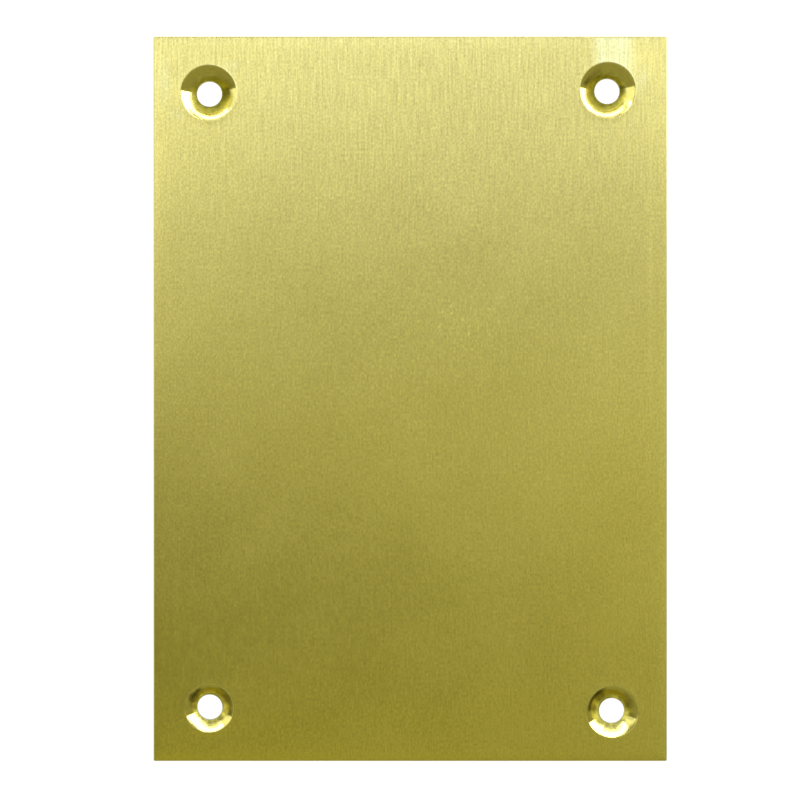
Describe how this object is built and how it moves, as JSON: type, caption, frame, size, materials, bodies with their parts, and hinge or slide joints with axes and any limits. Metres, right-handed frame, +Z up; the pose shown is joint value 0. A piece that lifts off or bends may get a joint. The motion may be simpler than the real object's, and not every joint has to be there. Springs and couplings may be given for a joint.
{
  "type": "kick plate",
  "caption": "Flat rectangular door protection plate of satin brass, screwed on through a countersunk hole near each corner.",
  "frame": {"origin": "centre of the back face, the one that lies against the door", "axes": "+Z up the plate as it is fitted, +X across it, +Y into the door; the front face is towards -Y"},
  "size_m": [0.085, 0.003, 0.12],
  "materials": {
    "satin_brass": "satin, brushed along the plate's height"
  },
  "bodies": {
    "root": {"plate": "satin_brass"}
  },
  "joints": []
}
